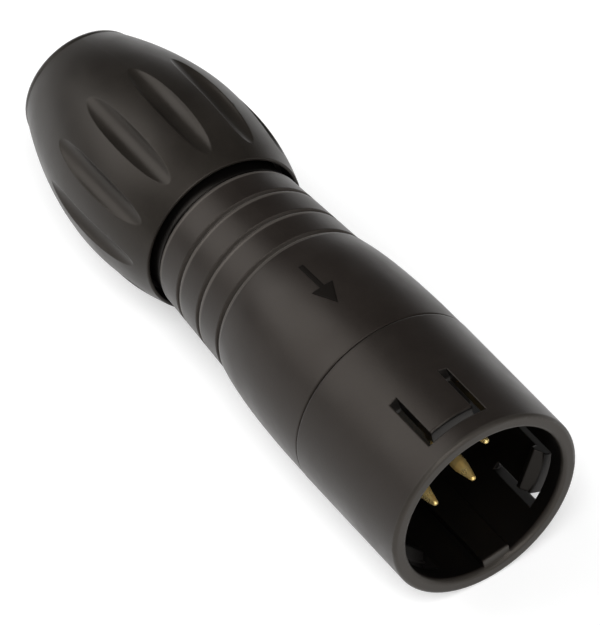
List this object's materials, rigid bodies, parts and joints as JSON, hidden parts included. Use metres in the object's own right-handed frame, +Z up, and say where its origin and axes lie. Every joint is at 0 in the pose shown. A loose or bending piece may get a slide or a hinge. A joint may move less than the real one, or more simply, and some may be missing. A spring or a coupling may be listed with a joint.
{
  "type": "circular cable connector plug",
  "caption": "Circular cable plug with snap tongues and a keyed mouth around male contacts, a ringed neck and a fluted clamping nut that grips the cable.",
  "frame": {"origin": "on the table under the middle of the plug's length, below its axis", "axes": "+X along the plug's axis towards the mouth, +Z up from the table it lies on, +Y to the left when looking out of the mouth"},
  "size_m": [0.0552, 0.016, 0.0161],
  "materials": {
    "sleeve_plastic": "fine moulded texture, charcoal",
    "housing_plastic": "fine moulded texture, charcoal",
    "nut_plastic": "fine moulded texture, charcoal",
    "insert_plastic": "smooth black",
    "gland_plastic": "smooth black",
    "contact_gold": "gold-plated, polished",
    "seal_rubber": "matte black elastomer"
  },
  "bodies": {
    "plug_body": {"front_sleeve": "sleeve_plastic", "sleeve_oring": "seal_rubber", "face_seal": "seal_rubber", "contact_insert": "insert_plastic", "insert_lock_ring": "insert_plastic", "rear_housing": "housing_plastic", "backing_ring": "gland_plastic", "gland_seal": "seal_rubber", "contact_pin_1": "contact_gold", "contact_pin_2": "contact_gold", "contact_pin_3": "contact_gold", "contact_pin_4": "contact_gold", "contact_pin_5": "contact_gold", "contact_pin_6": "contact_gold"},
    "cage": {"clamp_cage": "gland_plastic"},
    "nut": {"clamping_nut": "nut_plastic"}
  },
  "joints": [
    {"name": "cage_slide", "type": "slide", "parent": "plug_body", "child": "cage", "axis": [-1, 0, 0], "range_m": [0, 0.00375]},
    {"name": "nut_turn", "type": "hinge", "parent": "cage", "child": "nut", "pos_m": [0, 0, 0.00803], "axis": [-1, 0, 0], "range_deg": [0, 1080]}
  ],
  "couplings": [
    {"joint": "cage_slide", "follows": "nut_turn", "m_per_rad": 0.00019894}
  ]
}
